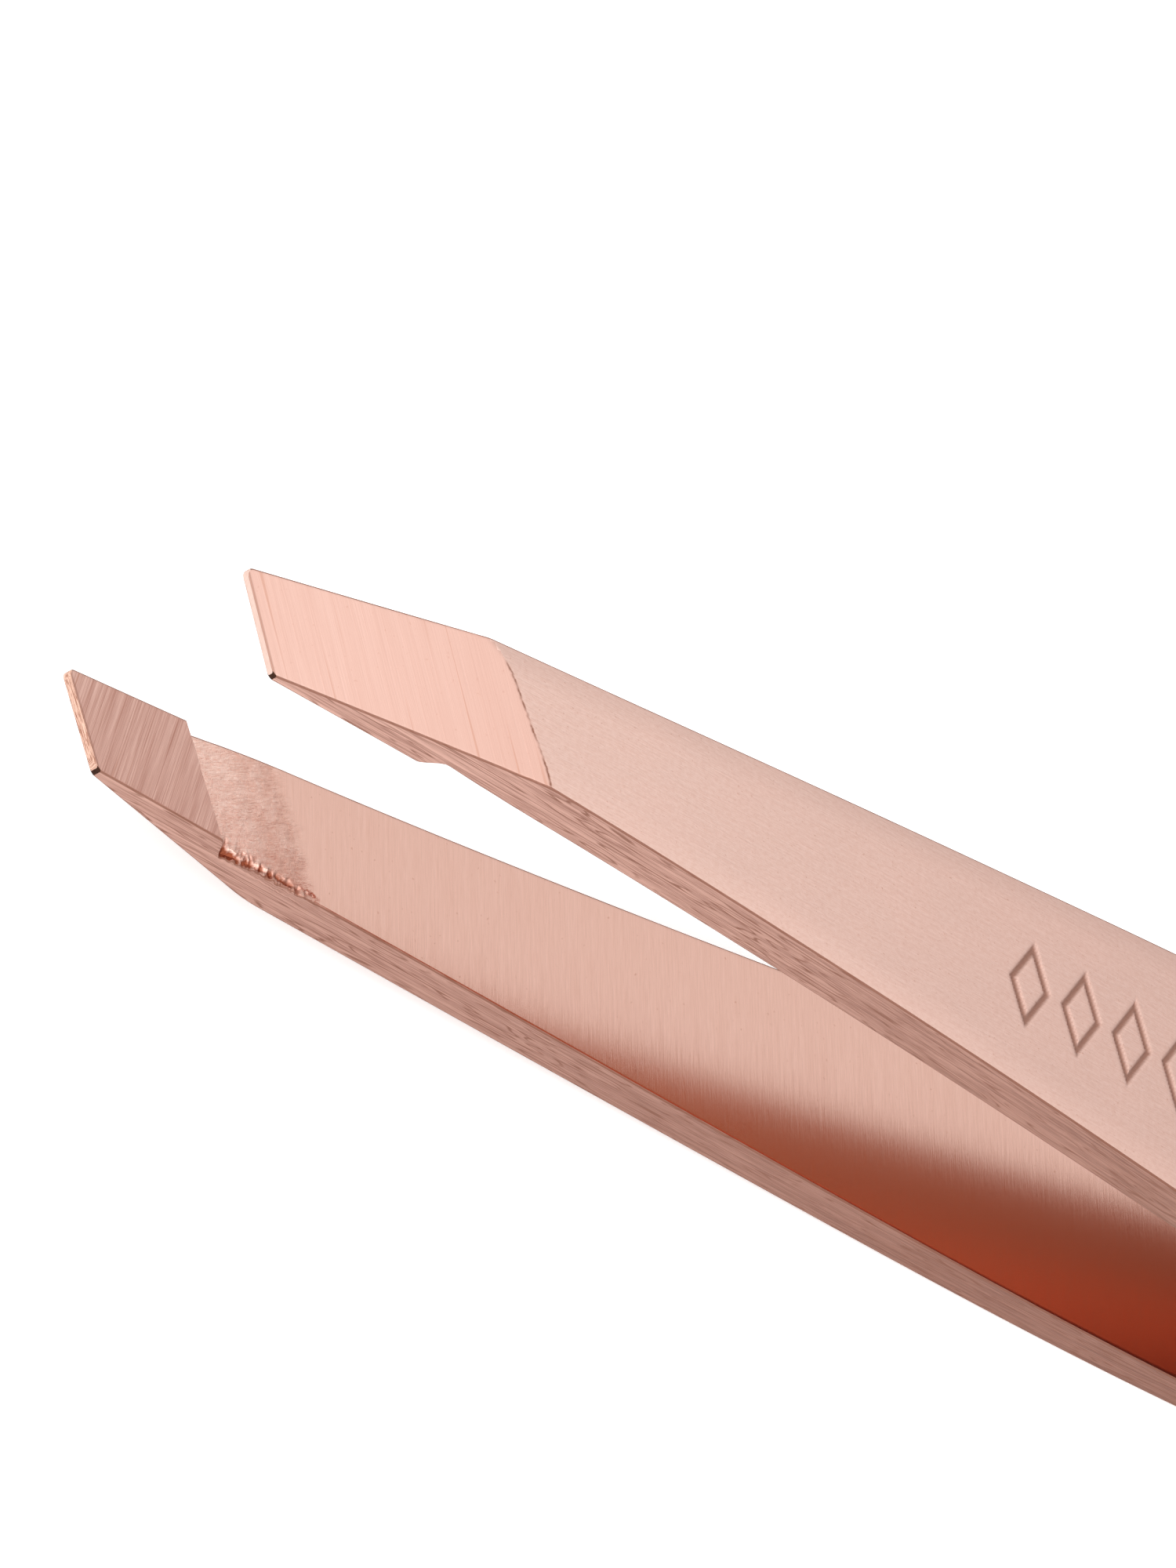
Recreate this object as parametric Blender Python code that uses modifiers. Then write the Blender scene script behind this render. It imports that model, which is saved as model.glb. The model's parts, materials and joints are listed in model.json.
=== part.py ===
"""Slant-tip tweezers: two bowed spring arms, mirror images of each other, welded face to face at the tail.

The arms are drawn in a bench frame. Its X runs from the foremost tip corner (0) to the tail, its Y across
the width, and its Z is the opening direction, with Z = 0 the plane where the closed tips meet. An empty
then lays the whole tool down as it rests on a table: on the lower arm's bow and the tail's lower edge.
"""

import math

import bmesh
import bpy
import numpy as np
from mathutils import Vector

NAME = "slant_tweezers"
MM = 0.001

# Overall size, from the tips to the tail.
LENGTH = 95.0 * MM
WELD_FRONT = 80.2 * MM
BEND_RADIUS = 12.0 * MM
BEND_ANGLE = math.radians(7.82)
BOW_RADIUS = 515.0 * MM
FLEXURE = 65.0 * MM

# Blade width and thickness: (distance from the tip, value).
HALF_WIDTHS = ((0, 1.37), (10, 1.94), (20, 2.66), (30, 3.46), (42, 4.43), (57, 5.0), (75, 4.35), (88, 3.5), (95, 3.0))
THICKNESSES = ((0, 1.78), (20, 1.86), (40, 1.76), (60, 1.6), (80, 1.4), (95, 1.4))
SHOULDER_WIDTH = 1.0 * MM
SHOULDER_DROP = 0.09 * MM
EDGE_CHAMFER = 0.12 * MM
TAIL_CORNER_RADIUS = 1.6 * MM
END_CHAMFER = 0.2 * MM

# Slanted tip. The tip line runs back across the width, and distances behind it are square to the blade's edge.
TIP_SLANT = 0.582
TIP_HALF_GAP = 4.40 * MM
SLANT_FADE = (10.0 * MM, 24.0 * MM)
PAD_STEP_RUN = 0.35 * MM
SCOOP_DEPTH = 0.38 * MM
SCOOP_LENGTH = 4.2 * MM
# Each arm's tip is ground on its own, so the two differ a little.
TIPS = {
    "upper": {"thickness": 0.39 * MM, "facet_slope": 0.240, "pad_length": 5.1 * MM, "pad_slope": 0.025},
    "lower": {"thickness": 0.46 * MM, "facet_slope": 0.285, "pad_length": 4.5 * MM, "pad_slope": 0.015},
}

# Clearances between pieces that meet.
FIT_GAP = 0.3 * MM
CLOSED_TIP_GAP = 0.1 * MM

# Weld nuggets: lenses of fused metal, sealed between the tails.
NUGGET_CENTRES = (84.5 * MM, 90.0 * MM)
NUGGET_RADIUS = 1.5 * MM
NUGGET_HALF_THICKNESS = 0.4 * MM
POCKET_SIDES = 32

# Where the tool lies on a table: half the length of the flat under the lower arm's bow.
REST_HALF_LENGTH = 2.0 * MM
ROW_PITCH = 3.0 * MM

SIDES = {"upper": 1, "lower": -1}
ROSE_GOLD = (0.86, 0.55, 0.45, 1.0)
WELD_GREY = (0.55, 0.53, 0.52, 1.0)


def smooth_through(stations):
    """A natural cubic spline through (distance, value) stations in millimetres, as a function in metres."""
    knots, values = np.array(stations, float).T * MM
    steps = np.diff(knots)
    slopes = np.diff(values) / steps
    system = np.eye(len(knots))
    wanted = np.zeros(len(knots))
    for i in range(1, len(knots) - 1):
        system[i, i - 1 : i + 2] = steps[i - 1], 2 * (steps[i - 1] + steps[i]), steps[i]
        wanted[i] = 6 * (slopes[i] - slopes[i - 1])
    curvatures = np.linalg.solve(system, wanted)

    def value(x):
        x = np.clip(x, knots[0], knots[-1])
        i = np.clip(np.searchsorted(knots, x) - 1, 0, len(steps) - 1)
        ahead, behind, step = knots[i + 1] - x, x - knots[i], steps[i]
        bend = (curvatures[i] * ahead**3 + curvatures[i + 1] * behind**3) / (6 * step)
        start = (values[i] / step - curvatures[i] * step / 6) * ahead
        return bend + start + (values[i + 1] / step - curvatures[i + 1] * step / 6) * behind

    return value


half_width = smooth_through(HALF_WIDTHS)
thickness = smooth_through(THICKNESSES)


def mid_height(x):
    """Height of an arm's middle surface over the closing plane: weld land, tight bend, then the long bow."""
    land = (FIT_GAP + thickness(LENGTH)) / 2
    bend_length = BEND_RADIUS * math.sin(BEND_ANGLE)
    into_bend = np.clip(WELD_FRONT - x, 0, bend_length)
    bend = BEND_RADIUS - np.sqrt(BEND_RADIUS**2 - into_bend**2)
    into_bow = np.maximum(WELD_FRONT - bend_length - x, 0)
    return land + bend + math.tan(BEND_ANGLE) * into_bow - into_bow**2 / (2 * BOW_RADIUS)


def end_chamfer(x):
    """How far each face is cut back at the tail's end."""
    return np.clip(x - (LENGTH - END_CHAMFER), 0, END_CHAMFER)


def closing_angle():
    """How far an arm turns about its flexure before its tip stands half the closed gap off the closing plane."""
    reach = math.hypot(FLEXURE, TIP_HALF_GAP - mid_height(FLEXURE))
    now = math.atan2(TIP_HALF_GAP - mid_height(FLEXURE), FLEXURE)
    closed = math.asin((CLOSED_TIP_GAP / 2 - mid_height(FLEXURE)) / reach)
    return now - closed


def tip_line_height(behind_corner):
    """Height of the tip line, which drops a little towards its rear end so that it closes along its whole length."""
    return TIP_HALF_GAP - math.tan(closing_angle()) * behind_corner


def outer_height(x, y, tip):
    """Outer face: the bow with its soft shoulders, cut off by the ground facet at the tip."""
    to_edge = half_width(x) - np.abs(y)
    shoulder = np.clip(1 - to_edge / SHOULDER_WIDTH, 0, 1)
    bow = mid_height(x) + thickness(x) / 2 - SHOULDER_DROP * shoulder**2 - end_chamfer(x)
    set_back = TIP_SLANT * (y + half_width(0))
    facet = tip_line_height(set_back) + tip["thickness"] + tip["facet_slope"] * (x - set_back)
    return np.minimum(bow, facet)


def inner_height(x, y, tip):
    """Inner face: the gripping pad at the tip, then the step down to a scoop that fades into the blade."""
    set_back = TIP_SLANT * (y + half_width(0))
    behind = x - set_back
    pad = tip_line_height(set_back) + tip["pad_slope"] * behind
    blade = mid_height(x) - thickness(x) / 2 + end_chamfer(x)
    behind_pad = behind - tip["pad_length"]
    scoop = SCOOP_DEPTH * (1 - np.clip(behind_pad / SCOOP_LENGTH, 0, 1)) ** 2
    step = np.clip(behind_pad / PAD_STEP_RUN, 0, 1)
    return pad + (blade + scoop - pad) * step


def section(distance, side, tip):
    """One closed ring across an arm, at a distance behind the tip line, as points in the bench frame."""
    fade = (distance - SLANT_FADE[0]) / (SLANT_FADE[1] - SLANT_FADE[0])
    slant = TIP_SLANT * (1 - np.clip(fade, 0, 1))
    across = np.array([-1, -0.75, -0.4, 0, 0.4, 0.75, 1])

    def edge_x(sign):
        x = distance
        for _ in range(12):
            x = distance + slant * (sign * tail_width(x) + half_width(0))
        return x

    near, far = edge_x(1), edge_x(-1)
    y_near, y_far = tail_width(near), -tail_width(far)
    middle, reach = (y_near + y_far) / 2, (y_near - y_far) / 2
    inset = reach - EDGE_CHAMFER
    outer_y = middle + across * inset
    ys = np.concatenate([[y_far], outer_y, [y_near], [y_near], outer_y[::-1], [y_far]])
    xs = np.minimum(distance + slant * (ys + half_width(0)), LENGTH)
    outer, inner = outer_height(xs, ys, tip), inner_height(xs, ys, tip)
    half = len(ys) // 2
    zs = np.concatenate([outer[:half], inner[half:]])
    chamfer = min(EDGE_CHAMFER, 0.25 * (outer - inner).min())
    zs[[0, half - 1]] -= chamfer
    zs[[half, -1]] += chamfer
    return [Vector((x, -y, side * z)) for x, y, z in zip(xs, ys, zs)]


def tail_width(x):
    """Half-width with the tail's two corners rounded off."""
    past = np.clip(x - (LENGTH - TAIL_CORNER_RADIUS), 0, TAIL_CORNER_RADIUS)
    return half_width(x) - TAIL_CORNER_RADIUS + np.sqrt(TAIL_CORNER_RADIUS**2 - past**2)


def rest_station():
    """Where a flat table touches the lower arm's bow when it also touches the tail's lower edge."""
    xs = np.linspace(20 * MM, 60 * MM, 401)
    bow = mid_height(xs) + thickness(xs) / 2
    tail_edge = LENGTH - END_CHAMFER
    tail = mid_height(tail_edge) + thickness(tail_edge) / 2
    return xs[np.argmax((bow - tail) / (tail_edge - xs))]


def row_distances(start, end, fixed):
    """Row distances from start to end: the fixed ones, with the gaps between them filled evenly."""
    marks = sorted({start, end, *[mark for mark in fixed if start < mark < end]})
    rows = [start]
    for low, high in zip(marks, marks[1:]):
        count = max(1, math.ceil((high - low) / ROW_PITCH - 0.01))
        rows += [low + (high - low) * (i + 1) / count for i in range(count)]
    return rows


def material(name, colour, roughness):
    made = bpy.data.materials.new(name)
    made.use_nodes = True
    shader = made.node_tree.nodes["Principled BSDF"]
    shader.inputs["Base Color"].default_value = colour
    shader.inputs["Metallic"].default_value = 1.0
    shader.inputs["Roughness"].default_value = roughness
    return made


def add_object(name, mesh, collection, parent, finish):
    mesh.materials.append(finish)
    made = bpy.data.objects.new(name, mesh)
    collection.objects.link(made)
    made.parent = parent
    made.matrix_parent_inverse.identity()
    return made


def loft(name, rings, origin):
    """A closed mesh through rings of equal length, with flat caps, placed about an origin."""
    mesh = bpy.data.meshes.new(name)
    shape = bmesh.new()
    rows = [[shape.verts.new(point - origin) for point in ring] for ring in rings]
    for back, front in zip(rows, rows[1:]):
        for i, corner in enumerate(back):
            j = (i + 1) % len(back)
            shape.faces.new((corner, back[j], front[j], front[i]))
    shape.faces.new(rows[0])
    shape.faces.new(rows[-1])
    bmesh.ops.recalc_face_normals(shape, faces=shape.faces)
    shape.to_mesh(mesh)
    shape.free()
    mesh.shade_smooth()
    mesh.set_sharp_from_angle(angle=math.radians(20))
    return mesh


def blade_rows(tip):
    """Rows of the moving blade, from the slanted tip to the flexure."""
    pad_end = tip["pad_length"]
    scoop = [pad_end + SCOOP_LENGTH * i / 4 for i in range(1, 5)]
    rest = rest_station()
    marks = [pad_end, pad_end + PAD_STEP_RUN, *scoop, facet_length(tip), *SLANT_FADE]
    marks += [rest - REST_HALF_LENGTH, rest + REST_HALF_LENGTH]
    return row_distances(0.0, FLEXURE - FIT_GAP / 2, marks)


def facet_length(tip):
    """Distance behind the tip line at which the ground facet runs out into the bow, along the blade's middle."""
    behind = np.linspace(0, SLANT_FADE[0], 501)
    set_back = TIP_SLANT * half_width(0)
    facet = tip_line_height(set_back) + tip["thickness"] + tip["facet_slope"] * behind
    bow = mid_height(behind + set_back) + thickness(behind + set_back) / 2
    return behind[np.argmax(facet > bow)]


def tail_rows():
    """Rows of the fixed tail, from the flexure to the rounded end."""
    bend_length = BEND_RADIUS * math.sin(BEND_ANGLE)
    bend = [WELD_FRONT - bend_length * i / 3 for i in range(4)]
    turns = np.linspace(0, math.pi / 2, 7)[1:-1]
    corner = [LENGTH - TAIL_CORNER_RADIUS * (1 - math.sin(turn)) for turn in turns]
    marks = [*bend, LENGTH - TAIL_CORNER_RADIUS, *corner, LENGTH - END_CHAMFER]
    return row_distances(FLEXURE + FIT_GAP / 2, LENGTH, marks)


def make_arm(arm, collection, bench, finish):
    """One arm: its moving blade under an empty on the flexure's axis, and its fixed tail."""
    side, tip = SIDES[arm], TIPS[arm]
    pivot = Vector((FLEXURE, 0, side * mid_height(FLEXURE)))
    hinge = bpy.data.objects.new(f"{arm}_flexure", None)
    hinge.empty_display_size = 4 * MM
    hinge.location = pivot
    hinge.parent = bench
    collection.objects.link(hinge)
    rings = [section(distance, side, tip) for distance in blade_rows(tip)]
    add_object(f"{arm}_arm", loft(f"{arm}_arm", rings, pivot), collection, hinge, finish)
    rings = [section(distance, side, tip) for distance in tail_rows()]
    return add_object(f"{arm}_tail", loft(f"{arm}_tail", rings, Vector()), collection, bench, finish)


def disc(name, radius, half_thickness):
    mesh = bpy.data.meshes.new(name)
    shape = bmesh.new()
    bmesh.ops.create_cone(
        shape, cap_ends=True, segments=POCKET_SIDES, radius1=radius, radius2=radius, depth=2 * half_thickness
    )
    shape.to_mesh(mesh)
    shape.free()
    return mesh


def make_nugget(name, x, collection, cutters, bench, tails, finish):
    """A weld nugget, and the round pocket that it fills in both tails."""
    nugget = add_object(name, disc(name, NUGGET_RADIUS, NUGGET_HALF_THICKNESS), collection, bench, finish)
    nugget.location.x = x
    rim = nugget.modifiers.new("lens_rim", "BEVEL")
    rim.width = 0.7 * NUGGET_HALF_THICKNESS
    rim.segments = 3
    pocket_mesh = disc(f"{name}_pocket", NUGGET_RADIUS + FIT_GAP, NUGGET_HALF_THICKNESS + FIT_GAP)
    pocket = add_object(f"{name}_pocket", pocket_mesh, cutters, bench, finish)
    pocket.location.x = x
    pocket.hide_render = True
    pocket.display_type = "WIRE"
    for tail in tails:
        cut = tail.modifiers.new(pocket.name, "BOOLEAN")
        cut.operation = "DIFFERENCE"
        cut.object = pocket


def lay_down(bench, parts):
    """Turns the tool to its resting tilt, and puts the middle of its underside's box at the origin."""
    rest = rest_station()
    ends = np.array([rest - REST_HALF_LENGTH, rest + REST_HALF_LENGTH])
    bow = mid_height(ends) + thickness(ends) / 2
    bench.rotation_euler.y = math.atan((bow[0] - bow[1]) / (ends[1] - ends[0]))
    bpy.context.view_layer.update()
    corners = np.array([part.matrix_world @ vertex.co for part in parts for vertex in part.data.vertices])
    low, high = corners.min(axis=0), corners.max(axis=0)
    bench.location = (-(low[0] + high[0]) / 2, -(low[1] + high[1]) / 2, -low[2])
    bpy.context.view_layer.update()


def main():
    for old in list(bpy.data.objects):
        bpy.data.objects.remove(old)
    collection = bpy.data.collections.new(NAME)
    cutters = bpy.data.collections.new("cutters")
    for group in (collection, cutters):
        bpy.context.scene.collection.children.link(group)
    bench = bpy.data.objects.new("bench", None)
    bench.empty_display_size = 10 * MM
    collection.objects.link(bench)
    tails = [
        make_arm("upper", collection, bench, material("upper_arm_rose_gold", ROSE_GOLD, 0.34)),
        make_arm("lower", collection, bench, material("lower_arm_rose_gold", ROSE_GOLD, 0.34)),
    ]
    for place, x in zip(("front", "rear"), NUGGET_CENTRES):
        finish = material(f"{place}_weld_metal", WELD_GREY, 0.6)
        make_nugget(f"weld_nugget_{place}", x, collection, cutters, bench, tails, finish)
    lay_down(bench, [part for part in collection.objects if part.type == "MESH"])


main()
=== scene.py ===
"""Looks of the slant-tip tweezers: fine arm meshes, rose-gold surfaces, camera and studio.

Shapes are drawn in a bench frame, in metres: X from the foremost tip corner to the tail, Y across the width,
Z the opening direction. The two flexure axes in the record say where that frame lies in the model.
"""

import json
import math

import bpy
import numpy as np
from mathutils import Matrix, Vector, noise

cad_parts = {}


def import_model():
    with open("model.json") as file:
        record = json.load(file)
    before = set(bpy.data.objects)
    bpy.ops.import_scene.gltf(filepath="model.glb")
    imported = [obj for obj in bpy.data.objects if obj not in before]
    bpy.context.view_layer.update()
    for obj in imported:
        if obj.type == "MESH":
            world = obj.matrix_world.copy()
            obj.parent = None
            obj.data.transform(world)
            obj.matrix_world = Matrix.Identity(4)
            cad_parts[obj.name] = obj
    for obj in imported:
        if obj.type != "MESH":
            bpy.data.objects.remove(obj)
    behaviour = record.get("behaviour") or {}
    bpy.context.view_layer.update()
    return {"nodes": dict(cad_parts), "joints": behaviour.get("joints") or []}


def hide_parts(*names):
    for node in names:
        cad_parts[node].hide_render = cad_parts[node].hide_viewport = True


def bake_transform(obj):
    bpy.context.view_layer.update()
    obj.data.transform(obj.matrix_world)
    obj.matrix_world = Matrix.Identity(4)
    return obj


MM = 0.001

# The arms' outline, as in the CAD model.
LENGTH = 95.0 * MM
WELD_FRONT = 80.2 * MM
BEND_RADIUS = 12.0 * MM
BEND_ANGLE = math.radians(7.82)
BOW_RADIUS = 515.0 * MM
FLEXURE = 65.0 * MM
HALF_WIDTHS = (
    (0, 1.37),
    (10, 1.94),
    (20, 2.66),
    (30, 3.46),
    (42, 4.43),
    (57, 5.0),
    (75, 4.35),
    (88, 3.5),
    (95, 3.0),
)
THICKNESSES = ((0, 1.78), (20, 1.86), (40, 1.76), (60, 1.6), (80, 1.4), (95, 1.4))
SHOULDER_WIDTH = 1.0 * MM
SHOULDER_DROP = 0.09 * MM
TAIL_CORNER_RADIUS = 1.6 * MM
END_CHAMFER = 0.2 * MM
CAD_TAIL_GAP = 0.3 * MM
TIP_SLANT = 0.582
TIP_HALF_GAP = 4.40 * MM
CLOSING_SLOPE = math.tan(math.radians(3.83))
SLANT_FADE = (10.0 * MM, 24.0 * MM)
SCOOP_LENGTH = 4.2 * MM
NUGGET_CENTRES = (84.5 * MM, 90.0 * MM)
POCKET_RADIUS = 1.7 * MM
POCKET_DEPTH = 0.66 * MM
POCKET_BLEND = 0.1 * MM

# The tips. Their thicknesses, facets, steps and scoops are set closer to the photo than the CAD model's.
TIPS = {
    "upper": {
        "thickness": 0.27 * MM,
        "facet_slope": 0.260,
        "pad_length": 5.1 * MM,
        "pad_slope": 0.025,
        "step_run": 0.75 * MM,
        "scoop_depth": 0.18 * MM,
        "facet_blend": 0.002 * MM,
    },
    "lower": {
        "thickness": 0.40 * MM,
        "facet_slope": 0.293,
        "pad_length": 4.5 * MM,
        "pad_slope": 0.015,
        "step_run": 0.14 * MM,
        "scoop_depth": 0.38 * MM,
        "facet_blend": 0.16 * MM,
    },
}

# Finer shape, for looks only.
SEAM_GAP = 0.06 * MM
SEAM_RUN = 3.0 * MM
EDGE_RADIUS = 0.05 * MM
TIP_EDGE_RADIUS = 0.02 * MM
EDGE_LINE = 0.02 * MM
# Painted shade: the rounds along the blade's edges are coloured dark, as a shadow line.
EDGE_PAINTED_SHADE = 0.85
FAR_CORNER_RADIUS = 0.22 * MM
NEAR_CORNER_CHAMFER = 0.08 * MM
FILED_LENGTH = 0.6 * FAR_CORNER_RADIUS
TIP_LINE = (0.03 * MM, 0.10 * MM)
# The first rows at the tip are coloured darker by this share.
TIP_DARKENING = 0.55
NEAR_SHOULDER = 0.25
SHOULDER_GROWS = (8.0 * MM, 24.0 * MM)
FACET_LINE_HEIGHT = 0.011 * MM
FACET_LINE_REACH = 6 * FACET_LINE_HEIGHT
FACET_LINE_STRETCH = 0.3
FACET_LINE_WANDER = 0.012 * MM
FACET_LINE_DEPTH = 0.012 * MM
FACET_LINE_FAR_FADE = (0.3 * MM, 0.8 * MM)
FACET_LINE_NEAR_FADE = (0, 0.12 * MM)
PAD_END_WANDER = 0.05 * MM
PAD_END_LINE = 0.05 * MM
# Painted shade: a dark line at the foot of the step behind the pad.
PAD_END_PAINTED_SHADE = 0.45
DENT_HEIGHT = 0.014 * MM
NEAR_STEP_RUN = 0.55 * MM
STAMP_START = 29.4 * MM
STAMP_PITCH = 2.3 * MM
STAMP_COUNT = 6
STAMP_HALF_SIZE = (0.76 * MM, 1.25 * MM)
STAMP_STROKE = 0.16 * MM
STAMP_FLOOR = 0.35 * STAMP_STROKE
STAMP_DEPTH = 0.06 * MM
# Painted shade: the stamp's grooves are coloured dark, as the shade inside them.
STAMP_PAINTED_SHADE = 0.8

# The torn near edge behind the lower pad. It narrows and fades out rearwards. Its core is a share of its
# width, its valley is (distance from the edge, width), and the two heights are in mm.
BURR_WIDTH = 0.90 * MM
BURR_CORE = 0.4
BURR_LENGTH = 4.3 * MM
BURR_NARROWS = 0.6
BURR_NARROWS_OVER = 0.8 * BURR_LENGTH
BURR_START = (0.25 * MM, 0.55 * MM)
BURR_END = (0.65 * BURR_LENGTH, BURR_LENGTH)
BURR_VALLEY = (0.17 * MM, 0.08 * MM)
BURR_VALLEY_MM = 0.07
BURR_CRUMB_MM = 0.12
BURR_OUTLINE = 0.06 * MM

# Mesh spacing.
FINE_ZONE_END = 13 * MM
TAIL_ZONE_START = 80 * MM
FACET_END_ZONE = 0.35 * MM
PAD_END_ROWS = np.linspace(-0.12, 0.3, 13) * MM
LEAST_PITCH = 0.004 * MM
ROUND_STEPS = 13
EDGE_PASSES = 12
SHARP_ANGLE = math.radians(32)
ACROSS_POINTS = 75
SIDE_POINTS = 7
FILLET_POINTS = 2
FINE_PITCH = 0.16 * MM
FINEST_PITCH = 0.075 * MM
COARSE_PITCH = 0.7 * MM

# Camera, in the bench frame.
CAMERA_PLACE = (-68.02 * MM, -77.30 * MM, 120.37 * MM)
CAMERA_AIM = (16.17 * MM, 3.26 * MM, 0.0)
CAMERA_ROLL = math.radians(64.34)
CAMERA_LENS = 125.0

# Studio.
FLOOR_REACH = 3.0
FLOOR_COLOUR = (0.95, 0.95, 0.95, 1)
FLOOR_IN_REFLECTIONS = (0.42, 0.42, 0.42, 1)
FLOOR_GLOW = 0.42
FLOOR_GLOW_IN_REFLECTIONS = 0.15
TENT_HORIZON = 0.56
TENT_TOP = 1.12
SOFTBOX_PLACE = (-0.52, -0.20, 0.28)
SOFTBOX_SIZE = 0.95
SOFTBOX_POWER = 1.5
FILL_PLACE = (-0.20, -0.55, 0.66)
FILL_SIZE = 1.3
FILL_POWER = 2.8

SIDES = {"upper": 1, "lower": -1}
SEEDS = {"upper": 3.1, "lower": 17.7}

# The grain's third coordinate on the outer faces. On the side faces it follows the rolled thickness from 0.
LAP_HEIGHT = 1.6 * MM


def smooth_through(stations):
    """A natural cubic spline through (distance, value) stations in millimetres, as a function in metres."""
    knots, values = np.array(stations, float).T * MM
    steps = np.diff(knots)
    slopes = np.diff(values) / steps
    system = np.eye(len(knots))
    wanted = np.zeros(len(knots))
    for i in range(1, len(knots) - 1):
        system[i, i - 1 : i + 2] = steps[i - 1], 2 * (steps[i - 1] + steps[i]), steps[i]
        wanted[i] = 6 * (slopes[i] - slopes[i - 1])
    curvatures = np.linalg.solve(system, wanted)

    def value(x):
        x = np.clip(x, knots[0], knots[-1])
        i = np.clip(np.searchsorted(knots, x) - 1, 0, len(steps) - 1)
        ahead, behind, step = knots[i + 1] - x, x - knots[i], steps[i]
        bend = (curvatures[i] * ahead**3 + curvatures[i + 1] * behind**3) / (6 * step)
        start = (values[i] / step - curvatures[i] * step / 6) * ahead
        return bend + start + (values[i + 1] / step - curvatures[i + 1] * step / 6) * behind

    return value


half_width = smooth_through(HALF_WIDTHS)
thickness = smooth_through(THICKNESSES)


def ramp(value, low, high):
    """0 below low, 1 above high, and a smooth rise between them."""
    t = np.clip((value - low) / (high - low), 0, 1)
    return t * t * (3 - 2 * t)


def mid_height(x):
    """Height of an arm's middle surface over the closing plane: weld land, tight bend, then the long bow."""
    land = (CAD_TAIL_GAP + thickness(LENGTH)) / 2
    bend_length = BEND_RADIUS * math.sin(BEND_ANGLE)
    into_bend = np.clip(WELD_FRONT - x, 0, bend_length)
    bend = BEND_RADIUS - np.sqrt(BEND_RADIUS**2 - into_bend**2)
    into_bow = np.maximum(WELD_FRONT - bend_length - x, 0)
    return land + bend + math.tan(BEND_ANGLE) * into_bow - into_bow**2 / (2 * BOW_RADIUS)


def tail_width(x):
    """Half-width with the tail's two corners rounded off."""
    past = np.clip(x - (LENGTH - TAIL_CORNER_RADIUS), 0, TAIL_CORNER_RADIUS)
    return half_width(x) - TAIL_CORNER_RADIUS + np.sqrt(TAIL_CORNER_RADIUS**2 - past**2)


def grain_noise(points, scale, seed, where=None):
    """Smooth noise from -1 to 1 at points in metres, scale features per millimetre, and 0 outside where."""
    points = np.asarray(points)
    scaled = points * np.array(scale) / MM + (seed, 0, 0)
    values = np.zeros(len(points))
    wanted = range(len(points)) if where is None else np.flatnonzero(where)
    for i in wanted:
        values[i] = noise.noise(Vector(scaled[i]))
    return values


class Bench:
    """Where the bench frame lies in the model, from the two flexure axes."""

    def __init__(self, joints):
        pivots = {joint["name"]: np.array(joint["pos_m"], float) for joint in joints}
        spread = pivots["upper_flexure"] - pivots["lower_flexure"]
        self.up = spread / np.linalg.norm(spread)
        self.across = np.array([0.0, 1.0, 0.0])
        self.along = np.cross(self.across, self.up)
        middle = (pivots["upper_flexure"] + pivots["lower_flexure"]) / 2
        self.origin = middle - FLEXURE * self.along

    def place(self, points):
        return self.origin + np.asarray(points) @ np.stack([self.along, self.across, self.up])


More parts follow.
